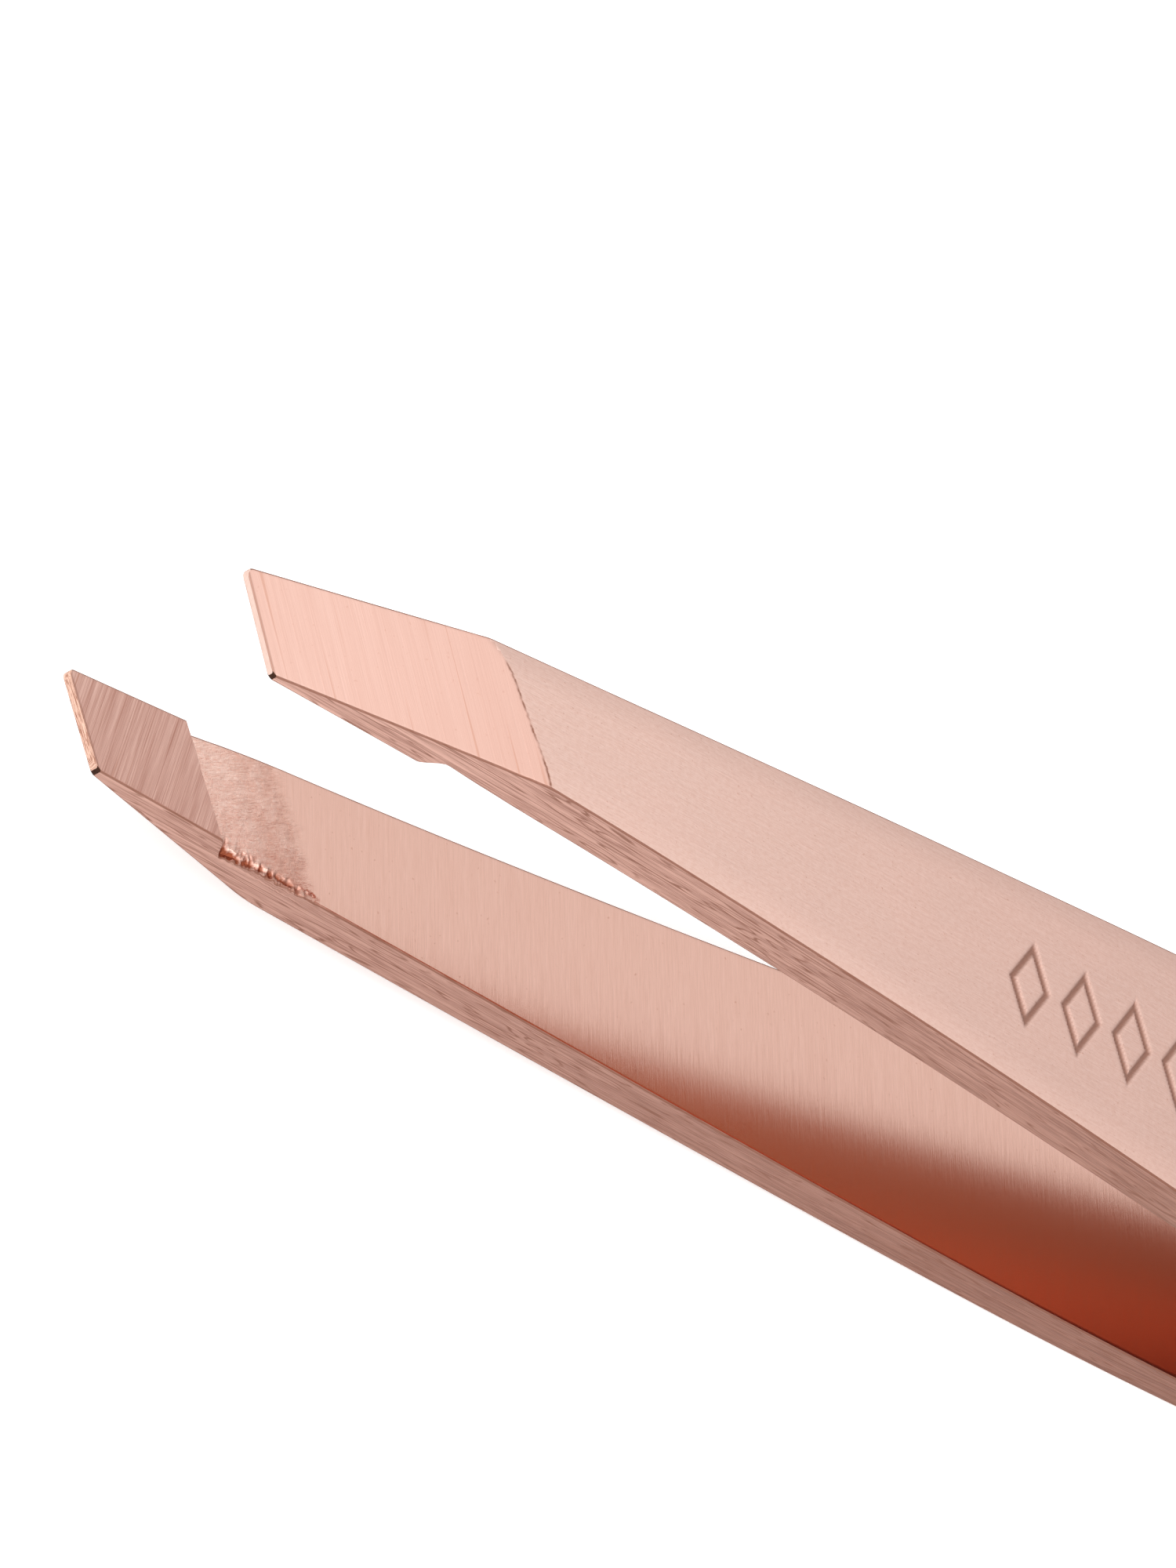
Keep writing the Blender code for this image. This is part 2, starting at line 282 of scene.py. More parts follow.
class Arm:
    """One arm's faces, as heights over the closing plane. across runs over the width, + on the near side."""

    def __init__(self, name):
        self.name = name
        self.side = SIDES[name]
        self.tip = TIPS[name]
        self.seed = SEEDS[name]
        self.stamped = name == "upper"
        self.burred = name == "lower"

    def set_back(self, across):
        return TIP_SLANT * (across + half_width(0))

    def tip_line(self, across):
        return TIP_HALF_GAP - CLOSING_SLOPE * self.set_back(across)

    def facet(self, x, across):
        behind = x - self.set_back(across)
        return self.tip_line(across) + self.tip["thickness"] + self.tip["facet_slope"] * behind

    def bow(self, x, across):
        """The outer face, rolled off towards its edges. By the facet its near edge stays almost square."""
        to_edge = half_width(x) - np.abs(across)
        shoulder = np.clip(1 - to_edge / SHOULDER_WIDTH, 0, 1)
        square = (1 - NEAR_SHOULDER) * (1 - ramp(x, *SHOULDER_GROWS)) * (across > 0)
        end = np.clip(x - (LENGTH - END_CHAMFER), 0, END_CHAMFER)
        return mid_height(x) + thickness(x) / 2 - SHOULDER_DROP * (1 - square) * shoulder**2 - end

    def facet_line(self, x, across):
        """Where the ground facet runs out in a ragged line, from 0 to 1. The line is cut in a little and
        coloured dark as a painted shadow.
        """
        over = self.facet(x, across) - self.bow(x, across)
        close = np.abs(over) < FACET_LINE_REACH
        places = np.column_stack([across, x * FACET_LINE_STRETCH, np.zeros_like(x)])
        ragged = over + FACET_LINE_WANDER * grain_noise(places, (11, 3, 1), self.seed, close)
        breaks = np.clip(0.85 + 1.4 * grain_noise(places, (4, 2, 1), self.seed + 2, close), 0.15, 1)
        far_fade = ramp(across + half_width(x), *FACET_LINE_FAR_FADE)
        near_fade = ramp(half_width(x) - across, *FACET_LINE_NEAR_FADE)
        return np.exp(-((ragged / FACET_LINE_HEIGHT) ** 2)) * breaks * (far_fade * near_fade)

    def stamp(self, x, across):
        """How deep a plain row of pressed lozenges lies, from 0 to 1."""
        if not self.stamped:
            return np.zeros_like(x)
        number = np.clip(np.round((x - STAMP_START) / STAMP_PITCH), 0, STAMP_COUNT - 1)
        dx = np.abs(x - STAMP_START - number * STAMP_PITCH)
        wide, tall = STAMP_HALF_SIZE
        outline = (dx / wide + np.abs(across) / tall - 1) * wide * tall / math.hypot(wide, tall)
        return 1 - ramp(np.abs(outline), STAMP_FLOOR, STAMP_STROKE)

    def outer(self, x, across):
        """Outer height, with how dark it is coloured there: painted shade along the facet line and in the
        stamp's grooves.
        """
        line, stamp = self.facet_line(x, across), self.stamp(x, across)
        facet, bow = self.facet(x, across), self.bow(x, across)
        blend = self.tip["facet_blend"]
        share = np.clip(0.5 + (bow - facet) / (2 * blend), 0, 1)
        height = bow + (facet - bow) * share - blend * share * (1 - share)
        height = height - FACET_LINE_DEPTH * line - STAMP_DEPTH * stamp
        return height, np.maximum(line, STAMP_PAINTED_SHADE * stamp)

    def burr(self, x, across):
        """How ragged the inner face is at its near edge just behind the pad, from 0 to 1."""
        if not self.burred:
            return np.zeros_like(x)
        behind_pad = x - self.set_back(across) - self.tip["pad_length"]
        width = BURR_WIDTH * (1 - BURR_NARROWS * ramp(behind_pad, 0, BURR_NARROWS_OVER))
        strip = 1 - ramp(half_width(x) - across, BURR_CORE * width, width)
        return strip * ramp(behind_pad, *BURR_START) * (1 - ramp(behind_pad, *BURR_END))

    def step_run(self, x, across):
        """How far the step behind the pad runs. On the torn arm it leans back towards the near edge."""
        run = self.tip["step_run"]
        return run + (NEAR_STEP_RUN - run) * ramp(across, 0, half_width(x)) * self.burred

    def torn_edge(self, x, across, points):
        """Relief of the torn near edge, as crumbs with a valley along them, and how dark it is coloured: the
        torn metal's own colour, with painted shade in the valley.
        """
        torn = self.burr(x, across)
        crumbs = 0.75 * grain_noise(points, (5.5, 2.2, 1), self.seed + 13, torn > 0)
        crumbs = crumbs + 0.65 * grain_noise(points, (13, 6, 1), self.seed + 15, torn > 0)
        place, width = BURR_VALLEY
        valley = np.exp(-(((half_width(x) - across - place) / width) ** 2))
        relief = MM * torn * (BURR_CRUMB_MM * crumbs + BURR_VALLEY_MM * valley)
        return relief, torn * np.clip(0.2 + 2.0 * crumbs + 0.9 * valley, 0, 1)

    def plain_inner(self, x):
        """The rolled inner face, which closes most of the CAD's gap between the two weld lands."""
        land = np.clip((x - (WELD_FRONT - SEAM_RUN)) / SEAM_RUN, 0, 1)
        blade = mid_height(x) - thickness(x) / 2 - land * (CAD_TAIL_GAP - SEAM_GAP) / 2
        return blade + np.clip(x - (LENGTH - END_CHAMFER), 0, END_CHAMFER)

    def inner(self, x, across):
        """Inner height, with how dark it is coloured (painted shade, and the torn edge's wear): pad, step,
        scoop, torn near edge, plain blade, and weld pockets.
        """
        behind = x - self.set_back(across)
        pad = self.tip_line(across) + self.tip["pad_slope"] * behind
        points = np.column_stack([x, across, np.zeros_like(x)])
        close = behind < self.tip["pad_length"] + SCOOP_LENGTH
        wander = PAD_END_WANDER * grain_noise(points, (0.6, 2.5, 1), self.seed + 5, close)
        behind_pad = behind - self.tip["pad_length"] + wander
        into_scoop = 1 - np.clip(behind_pad / SCOOP_LENGTH, 0, 1)
        dents = DENT_HEIGHT * grain_noise(points, (1.4, 1.2, 1), self.seed + 9, close)
        relief, torn_wear_and_painted_shade = self.torn_edge(x, across, points)
        shape = self.tip["scoop_depth"] * into_scoop**2 + dents * np.sqrt(into_scoop) + relief
        step_run = self.step_run(x, across)
        step = ramp(behind_pad, 0, step_run)
        height = pad + (self.plain_inner(x) + shape - pad) * step + self.pockets(x, across)
        # Painted shade: a dark line at the foot of the step.
        line = np.exp(-(((behind_pad - step_run) / PAD_END_LINE) ** 2))
        return height, np.maximum(torn_wear_and_painted_shade, PAD_END_PAINTED_SHADE * line)

    def pockets(self, x, across):
        depth = np.zeros_like(x)
        rim = (POCKET_RADIUS - POCKET_BLEND, POCKET_RADIUS + POCKET_BLEND)
        for centre in NUGGET_CENTRES:
            inside = 1 - ramp(np.hypot(x - centre, across), *rim)
            depth = np.maximum(depth, POCKET_DEPTH * inside)
        return depth

    def facet_length(self):
        """Distance from the tip line to where the facet meets the bow, midway across, to 0.01 mm."""
        x = np.linspace(0, 20 * MM, 2001)
        over = self.facet(x, 0.0 * x) - self.bow(x, 0.0 * x)
        return x[np.argmax(over > 0)] - self.set_back(0.0)


def row_distances(arm):
    """Distances of the mesh rows behind the tip line, close together where the shape is fine."""
    pad_end, facet_end = arm.tip["pad_length"], arm.facet_length()
    stamp_end = STAMP_START + STAMP_COUNT * STAMP_PITCH
    zones = [
        (0, FINE_ZONE_END, FINE_PITCH),
        (FINE_ZONE_END, TAIL_ZONE_START, COARSE_PITCH),
        (TAIL_ZONE_START, LENGTH - TAIL_CORNER_RADIUS, 1.5 * FINE_PITCH),
    ]
    if arm.stamped:
        zones.append((STAMP_START - STAMP_PITCH / 2, stamp_end - STAMP_PITCH / 2, FINEST_PITCH))
        zones.append((facet_end - FACET_END_ZONE, facet_end + FACET_END_ZONE, 0.3 * FINEST_PITCH))
    if arm.burred:
        zones.append((pad_end, pad_end + BURR_LENGTH, 0.7 * FINEST_PITCH))
    rows = [np.arange(low, high, pitch) for low, high, pitch in zones]
    quarter = np.linspace(0, math.pi / 2, ROUND_STEPS)
    rows.append(LENGTH - TAIL_CORNER_RADIUS * (1 - np.sin(quarter)))
    rows.append(TIP_EDGE_RADIUS * (1 - np.cos(quarter[::3])))
    rows.append(FAR_CORNER_RADIUS * (1 - np.cos(quarter[::2])))
    rows.append([*TIP_LINE, NEAR_CORNER_CHAMFER, LENGTH - END_CHAMFER, facet_end])
    rows.append(pad_end + PAD_END_ROWS)
    rows = np.unique(np.round(np.concatenate(rows), 9))
    return rows[np.concatenate([[True], np.diff(rows) > LEAST_PITCH])]


def round_inset(radius, distance):
    """How far a round of this radius is cut back at a distance from where it starts."""
    left = max(radius - distance, 0)
    return radius - math.sqrt(radius**2 - left**2)


def corner_insets(distance):
    """How far the tip's two sides are cut back: a round at the far corner and a flat at the near one."""
    return round_inset(FAR_CORNER_RADIUS, distance), max(NEAR_CORNER_CHAMFER - distance, 0)


def side_edge(distance, slant, sign):
    """Where a slanted ring meets one side of the outline, found in a few passes."""
    x = distance
    for _ in range(EDGE_PASSES):
        x = distance + slant * (sign * tail_width(min(x, LENGTH)) + half_width(0))
    return sign * tail_width(min(x, LENGTH))


def fillet_and_side(edge, sign, top, bottom, radius):
    """(across, height) points down one side of the arm: a small round, the flat side, and a small round."""
    turns = np.linspace(0, math.pi / 2, FILLET_POINTS + 2)[1:-1]
    centre = edge - sign * radius
    upper = [(centre + sign * radius * math.sin(t), top - radius * (1 - math.cos(t))) for t in turns]
    lower = [(centre + sign * radius * math.sin(t), bottom + radius * (1 - math.cos(t))) for t in turns]
    high, low = top - radius, bottom + radius
    line = min(EDGE_LINE, 0.1 * (high - low))
    heights = [high, *np.linspace(high - line, low + line, SIDE_POINTS), low]
    return upper + [(edge, height) for height in heights] + lower[::-1]


def ring(arm, distance):
    """One closed ring across an arm: its points, their heights in the rolled thickness, and how dark they are
    coloured, mostly as painted shade.
    """
    fade = np.clip((distance - SLANT_FADE[0]) / (SLANT_FADE[1] - SLANT_FADE[0]), 0, 1)
    slant = TIP_SLANT * (1 - fade)

    def at(across):
        return np.minimum(distance + slant * (across + half_width(0)), LENGTH)

    far_inset, near_inset = corner_insets(distance)
    far = side_edge(distance, slant, -1) + far_inset
    near = side_edge(distance, slant, 1) - near_inset
    tip_round = round_inset(TIP_EDGE_RADIUS, distance)
    across = np.linspace(far + EDGE_RADIUS, near - EDGE_RADIUS, ACROSS_POINTS)
    outer, outer_painted_shade = arm.outer(at(across), across)
    inner, inner_painted_shade_and_wear = arm.inner(at(across), across)
    outer, inner = outer - tip_round, inner + tip_round
    near_side = fillet_and_side(near, 1, outer[-1], inner[-1], EDGE_RADIUS)
    far_side = fillet_and_side(far, -1, outer[0], inner[0], EDGE_RADIUS)
    inner_back = list(zip(across[::-1], inner[::-1]))
    section = np.array(list(zip(across, outer)) + near_side + inner_back + far_side[::-1])

    x, height = at(section[:, 0]), section[:, 1]
    laps = height - mid_height(x) + thickness(x) / 2
    laps[:ACROSS_POINTS] = LAP_HEIGHT
    laps[ACROSS_POINTS + len(near_side) : 2 * ACROSS_POINTS + len(near_side)] = 0
    rounds = FILLET_POINTS + 1
    # Painted shade: dark lines on the rounds along each side's edges.
    edges = [EDGE_PAINTED_SHADE] * rounds + [0.0] * SIDE_POINTS + [EDGE_PAINTED_SHADE] * rounds
    painted_shade_and_wear = np.concatenate([outer_painted_shade, edges, inner_painted_shade_and_wear[::-1], edges])
    # The rows at the very tip are coloured darker.
    painted_shade_and_wear = np.maximum(painted_shade_and_wear, TIP_DARKENING * (1 - ramp(distance, *TIP_LINE)))
    return np.column_stack([x, section]), laps, painted_shade_and_wear


def face_materials(arm, rows, distances, slots):
    """The material index of each face between the rings, one row of faces at a time."""
    # Faces across the blade, and down one side with both of its rounds.
    wide, narrow = ACROSS_POINTS - 1, 2 * FILLET_POINTS + SIDE_POINTS + 3
    parts = ["outer"] * wide + ["near"] * narrow + ["inner"] * wide + ["far"] * narrow
    parts = np.array(parts)[None, :]
    middle = ((distances[1:] + distances[:-1]) / 2)[:, None]
    centres = (rows[:-1] + np.roll(rows[1:], -1, axis=1)) / 2
    x, across = centres[:, :, 0], centres[:, :, 1]
    ground = arm.facet(x, across) < arm.bow(x, across)
    choices = [
        ((parts == "outer") & ground, "facet"),
        ((parts == "outer") & ~ground, "outer"),
        ((parts == "inner") & (middle < arm.tip["pad_length"]), "pad"),
        (parts == "inner", f"{arm.name}_inner"),
        ((parts == "near") & (middle < NEAR_CORNER_CHAMFER), "corner"),
        ((parts == "far") & (middle < FILED_LENGTH), f"{arm.name}_end"),
    ]
    conditions = [np.broadcast_to(condition, x.shape) for condition, _ in choices]
    indices = [slots.index(name) for _, name in choices]
    return np.select(conditions, indices, slots.index(f"{arm.name}_side")).ravel().tolist()


def roughen_edge(arm, rows):
    """Pushes the near inner edge in and out where the wheel tore it."""
    # From the foot of the near side, over its lower round, to the second point of the inner face.
    first = ACROSS_POINTS + FILLET_POINTS + SIDE_POINTS - 1
    last = ACROSS_POINTS + 2 * FILLET_POINTS + SIDE_POINTS + 4
    for k in range(first, last):
        points = rows[:, k]
        torn = arm.burr(points[:, 0], half_width(points[:, 0]))
        rough = grain_noise(points, (6.0, 4.0, 6.0), arm.seed + 21, torn > 0)
        rows[:, k, 1] += BURR_OUTLINE * torn * rough


def ring_faces(count, size):
    """Quads between count rings of size points each, then the two end caps."""
    faces = []
    for start in range(0, (count - 1) * size, size):
        for k in range(size):
            j = (k + 1) % size
            faces.append((start + k, start + j, start + size + j, start + size + k))
    faces.append(tuple(range(size - 1, -1, -1)))
    faces.append(tuple((count - 1) * size + k for k in range(size)))
    return faces


def keep_for_materials(mesh, arm, points, laps, painted_shade_and_wear):
    """Gives each point its grain coordinates and its distance behind the pad, in mm, and how dark it is
    coloured: painted shade, and the torn edge's own wear.
    """
    grain = (np.column_stack([points[:, :2], laps]) / MM).astype(np.float32)
    mesh.attributes.new("grain", "FLOAT_VECTOR", "POINT").data.foreach_set("vector", grain.ravel())
    behind_pad = (points[:, 0] - arm.set_back(points[:, 1]) - arm.tip["pad_length"]) / MM
    for name, values in (("painted_shade_and_wear", painted_shade_and_wear), ("behind_pad", behind_pad)):
        attribute = mesh.attributes.new(name, "FLOAT", "POINT")
        attribute.data.foreach_set("value", values.astype(np.float32))


def add_object(name, data):
    made = bpy.data.objects.new(name, data)
    bpy.context.scene.collection.objects.link(made)
    return made


def make_arm(arm, bench, materials):
    """The whole arm as one mesh, with its bench coordinates kept for the materials."""
    distances = row_distances(arm)
    rings = [ring(arm, distance) for distance in distances]
    rows = np.array([points for points, _, _ in rings])
    laps = np.array([laps for _, laps, _ in rings]).ravel()
    painted_shade_and_wear = np.array([painted_shade_and_wear for _, _, painted_shade_and_wear in rings]).ravel()
    if arm.burred:
        roughen_edge(arm, rows)
    points = rows.reshape(-1, 3)
    faces = ring_faces(*rows.shape[:2])
    if arm.side > 0:
        faces = [face[::-1] for face in faces]
    slots = sorted(materials)
    indices = face_materials(arm, rows, distances, slots)
    indices += [slots.index(f"{arm.name}_end"), slots.index(f"{arm.name}_side")]
    mesh = bpy.data.meshes.new(f"{arm.name}_arm_blade")
    mesh.from_pydata(bench.place(points * (1, -1, arm.side)).tolist(), [], faces)
    for slot in slots:
        mesh.materials.append(materials[slot])
    mesh.polygons.foreach_set("material_index", indices)
    keep_for_materials(mesh, arm, points, laps, painted_shade_and_wear)
    mesh.shade_smooth()
    mesh.set_sharp_from_angle(angle=SHARP_ANGLE)
    mesh.validate()
    return add_object(mesh.name, mesh)


class Shader:
    """A material's node tree, built with short calls. Grain coordinates are in millimetres."""

    def __init__(self, name, metallic=1.0):
        self.material = bpy.data.materials.new(name)
        self.material.use_nodes = True
        self.tree = self.material.node_tree
        self.surface = self.tree.nodes["Principled BSDF"]
        self.surface.inputs["Metallic"].default_value = metallic
        self.grain = self.add("Attribute", {}, attribute_name="grain").outputs["Vector"]
        # How dark a face is coloured: mostly painted shade, and on the torn edge its wear.
        self.painted_shade_and_wear = self.add("Attribute", {}, attribute_name="painted_shade_and_wear").outputs["Fac"]

    def add(self, kind, inputs, **settings):
        node = self.tree.nodes.new(f"ShaderNode{kind}")
        for name, value in settings.items():
            setattr(node, name, value)
        for name, value in inputs.items():
            if isinstance(value, bpy.types.NodeSocket):
                self.tree.links.new(value, node.inputs[name])
            else:
                node.inputs[name].default_value = value
        return node

    def math(self, operation, first, second=0.0, clamp=False):
        node = self.add("Math", {0: first, 1: second}, operation=operation)
        node.use_clamp = clamp
        return node.outputs[0]

    def stretch(self, scale, turn=0.0, coordinates=None):
        """Grain coordinates turned about the arm's thickness and scaled."""
        turned = self.add("Mapping", {"Vector": coordinates or self.grain, "Rotation": (0, 0, turn)})
        return self.add("Mapping", {"Vector": turned.outputs[0], "Scale": scale}).outputs[0]

    def noise(self, scale, detail=3.0, turn=0.0, roughness=0.6, distortion=0.0, coordinates=None):
        inputs = {
            "Vector": self.stretch(scale, turn, coordinates),
            "Scale": 1.0,
            "Detail": detail,
            "Roughness": roughness,
            "Distortion": distortion,
        }
        return self.add("TexNoise", inputs).outputs["Fac"]

    def spread(self, value, low, high, out_low=0.0, out_high=1.0):
        inputs = {"Value": value, "From Min": low, "From Max": high, "To Min": out_low, "To Max": out_high}
        return self.add("MapRange", inputs).outputs[0]

    def mix(self, factor, first, second):
        node = self.add("Mix", {0: factor, 6: first, 7: second}, data_type="RGBA")
        return node.outputs[2]

    def coordinate(self, axis):
        return self.add("SeparateXYZ", {0: self.grain}).outputs[axis]

    def bump(self, height, distance, strength=1.0, normal=None):
        inputs = {"Height": height, "Distance": distance, "Strength": strength}
        if normal:
            inputs["Normal"] = normal
        return self.add("Bump", inputs).outputs[0]

    def finish(self, colour, roughness, normal):
        for name, value in (("Base Color", colour), ("Roughness", roughness), ("Normal", normal)):
            self.tree.links.new(value, self.surface.inputs[name])
        return self.material


PALE_COPPER = (0.970, 0.665, 0.575, 1)
COPPER = (0.910, 0.600, 0.510, 1)
DEEP_COPPER = (0.640, 0.300, 0.200, 1)
DARK_COPPER = (0.300, 0.120, 0.075, 1)
# The torn edge's dark red, also used for painted shade on the inner faces.
TORN_COPPER_AND_PAINTED_SHADE = (0.36, 0.100, 0.050, 1)

# Pairs of (deep, pale) tones.
# Painted light: the outer face's paler tones in front.
FRONT_PAINTED_LIGHT_TONES = ((0.98, 0.650, 0.555, 1), (1.0, 0.725, 0.630, 1))
FACET_TONES = ((0.785, 0.478, 0.392, 1), (0.905, 0.592, 0.502, 1))
PAD_TONES = ((0.560, 0.270, 0.210, 1), (1.000, 0.650, 0.550, 1))
INNER_TONES = ((0.85, 0.510, 0.410, 1), (0.935, 0.590, 0.490, 1))
BEATEN_TONES = ((0.88, 0.540, 0.440, 1), (1.0, 0.710, 0.610, 1))
CRESCENT_TONES = ((0.64, 0.310, 0.225, 1), (0.88, 0.520, 0.420, 1))
# Painted highlight: the upper tip's end is coloured pale for the highlight it catches, over its filed metal.
UPPER_END_PAINTED_HIGHLIGHT_TONES = ((0.80, 0.54, 0.45, 1), (0.88, 0.63, 0.54, 1))
# The lower tip's end: dark specks of its own, and pale specks that are painted glints.
LOWER_END_PAINTED_GLINT_TONES = ((0.34, 0.100, 0.045, 1), (0.97, 0.62, 0.48, 1))
CORNER_TONES = ((0.040, 0.016, 0.010, 1), (0.160, 0.070, 0.045, 1))
WELD_TONES = ((0.35, 0.33, 0.32, 1), (0.62, 0.60, 0.58, 1))

# Pairs of (front, rear) tones, for surfaces whose painted shade grows deeper along the arm.
PAINTED_SHADE_COPPER = ((0.73, 0.275, 0.148, 1), (0.52, 0.170, 0.090, 1))
# The side tones are the edges' own darker colour, set darker still as painted shade.
SIDE_PALE = ((0.85, 0.505, 0.410, 1), (0.49, 0.245, 0.182, 1))
SIDE_DEEP = ((0.43, 0.205, 0.155, 1), (0.27, 0.118, 0.083, 1))

# Where along the arm each painted light or shade changes, in mm from the foremost corner. The inner faces'
# run is a length.
OUTER_PAINTED_LIGHT_ENDS = (9.0, 32.0)
GROUND_PAINTED_SHADE_RUN = (3.5, 10.0)
INNER_PAINTED_SHADE_RUN = 12.0
INNER_PAINTED_SHADE_REAR = (30.0, 50.0)
INNER_PAINTED_SHADE_ENDS = (60.0, 72.0)
SIDE_PAINTED_SHADE_RUN = (3.0, 36.0)


def outer_material():
    """Fine lengthwise brushing with small pits on the outer face, and painted light: paler in front."""
    s = Shader("outer_brushed_rose_gold")
    lines = s.noise((0.8, 15, 1), detail=4)
    fine = s.noise((2.2, 30, 1), detail=2)
    cloud = s.noise((0.35, 0.6, 1), detail=2)
    mottle = s.noise((5, 9, 5), detail=3, roughness=0.7)
    pits = s.spread(s.noise((7, 12, 7), detail=1), 0.70, 0.78)
    value = s.math("ADD", s.math("MULTIPLY", lines, 0.6), s.math("MULTIPLY", fine, 0.4))
    colour = s.mix(s.spread(value, 0.32, 0.66), COPPER, PALE_COPPER)
    # Painted light: paler towards the front.
    front = s.spread(s.coordinate("X"), *OUTER_PAINTED_LIGHT_ENDS, 1.0, 0.0)
    colour = s.mix(front, colour, s.mix(value, *FRONT_PAINTED_LIGHT_TONES))
    colour = s.mix(s.spread(mottle, 0.60, 0.36, 0.0, 0.16), colour, DEEP_COPPER)
    colour = s.mix(s.math("MULTIPLY", pits, 0.35), colour, DEEP_COPPER)
    # Painted shade along the facet line and in the stamp's grooves, and the darker rows at the tip.
    colour = s.mix(s.painted_shade_and_wear, colour, DARK_COPPER)
    roughness = s.math("ADD", s.spread(cloud, 0.3, 0.7, 0.33, 0.40), s.math("MULTIPLY", fine, 0.06))
    normal = s.bump(value, 0.02 * MM, 0.6)
    normal = s.bump(mottle, 0.010 * MM, 0.5, normal)
    normal = s.bump(s.math("SUBTRACT", 0.0, pits), 0.006 * MM, 0.5, normal)
    return s.finish(colour, roughness, normal)


def ground_material(name, turn, tones, contrast, bump, roughness, rear_painted_shade=0.0):
    """Parallel wheel marks: fine ones all over and a few long dark scratches.

    turn is their angle. Towards the rear the deep tone takes over by the given rear share, as painted shade.
    """
    deep, pale = tones
    s = Shader(name)
    lines = s.noise((24, 0.25, 1), detail=5, turn=turn, roughness=0.7)
    broad = s.noise((3.2, 0.12, 1), detail=2, turn=turn)
    scratch = s.spread(s.noise((8, 0.10, 1), detail=1, turn=turn), 0.64, 0.72)
    pits = s.math("MULTIPLY", s.spread(s.noise((9, 7, 7), detail=1), 0.71, 0.78), 0.6)
    value = s.math("ADD", s.math("MULTIPLY", lines, 0.72), s.math("MULTIPLY", broad, 0.28))
    colour = s.mix(s.spread(value, 0.5 - contrast, 0.5 + contrast), deep, pale)
    # Painted shade: deeper towards the rear.
    rear = s.spread(s.coordinate("X"), *GROUND_PAINTED_SHADE_RUN, 0.0, rear_painted_shade)
    colour = s.mix(rear, colour, deep)
    marks = s.math("MAXIMUM", scratch, pits)
    colour = s.mix(s.math("MULTIPLY", marks, 0.45), colour, DEEP_COPPER)
    # Painted shade along the facet line, and the darker rows at the tip.
    colour = s.mix(s.painted_shade_and_wear, colour, DARK_COPPER)
    normal = s.bump(value, bump, 0.7)
    roughness = s.spread(value, 0.3, 0.7, roughness + 0.06, roughness - 0.04)
    return s.finish(colour, roughness, normal)


def inner_plating_and_painted_shade(s, value, painted_shade_from, painted_shade_share):
    """Colour of an inner face, with painted shade between the arms. From the given start, in mm, it deepens
    by the given share, as far as the arms' root.
    """
    colour = s.mix(s.spread(value, 0.32, 0.68), *INNER_TONES)
    x = s.coordinate("X")
    deep = s.spread(x, painted_shade_from, painted_shade_from + INNER_PAINTED_SHADE_RUN, 0.0, painted_shade_share)
    deep = s.math("MULTIPLY", deep, s.spread(x, *INNER_PAINTED_SHADE_ENDS, 1.0, 0.1))
    painted_shade_tone = s.mix(s.spread(x, *INNER_PAINTED_SHADE_REAR), *PAINTED_SHADE_COPPER)
    return s.mix(deep, colour, s.mix(value, s.mix(0.2, painted_shade_tone, DARK_COPPER), painted_shade_tone))


def beaten_metal(s, edge, dents, curls):
    """Colour just behind a pad, with a deeper crescent. edge is a wavy distance behind the pad, in mm."""
    crescent = s.math("MULTIPLY", s.spread(edge, 1.6, 2.9), s.spread(dents, 0.36, 0.56, 0.2, 0.65))
    beaten = s.mix(s.spread(curls, 0.36, 0.60), *BEATEN_TONES)
    return s.mix(crescent, beaten, s.mix(curls, *CRESCENT_TONES))


def inner_material(name, painted_shade_from, painted_shade_share):
    """Faint crosswise brushing on an inner face, beaten and scratched just behind its pad."""
    s = Shader(name)
    lines = s.noise((8, 0.30, 1), detail=6, turn=0.2, roughness=0.72)
    fine = s.noise((24, 1.4, 1), detail=2, turn=0.2)
    pits = s.spread(s.noise((6, 6, 6), detail=1), 0.72, 0.76)
    value = s.math("ADD", s.math("MULTIPLY", lines, 0.6), s.math("MULTIPLY", fine, 0.4))
    # Painted shade between the arms: deeper and redder towards the root.
    colour = inner_plating_and_painted_shade(s, value, painted_shade_from, painted_shade_share)
    colour = s.mix(s.math("MULTIPLY", pits, 0.4), colour, DEEP_COPPER)

    behind_pad = s.add("Attribute", {}, attribute_name="behind_pad").outputs["Fac"]
    wave = s.spread(s.noise((0.25, 0.8, 1), detail=2), 0.3, 0.7, -0.35, 0.35)
    edge = s.math("ADD", behind_pad, wave)
    scooped = s.spread(edge, 4.1, 3.4)
    dents = s.noise((1.5, 1.2, 1), detail=3)
    curls = s.noise((3.0, 12, 1), detail=4, turn=0.45, distortion=1.6)
    colour = s.mix(scooped, colour, beaten_metal(s, edge, dents, curls))
    # The torn edge's own colour, and painted shade at the step's foot and in the torn valley.
    colour = s.mix(s.painted_shade_and_wear, colour, TORN_COPPER_AND_PAINTED_SHADE)

    normal = s.bump(value, 0.012 * MM, s.spread(scooped, 0, 1, 0.5, 0.1))
    normal = s.bump(dents, 0.10 * MM, s.math("MULTIPLY", scooped, 0.6), normal)
    normal = s.bump(curls, 0.022 * MM, s.math("MULTIPLY", scooped, 0.8), normal)
    roughness = s.math("ADD", s.spread(value, 0.3, 0.7, 0.21, 0.15), s.math("MULTIPLY", scooped, 0.10))
    roughness = s.math("ADD", roughness, s.math("MULTIPLY", s.painted_shade_and_wear, 0.22))
    return s.finish(colour, roughness, normal)


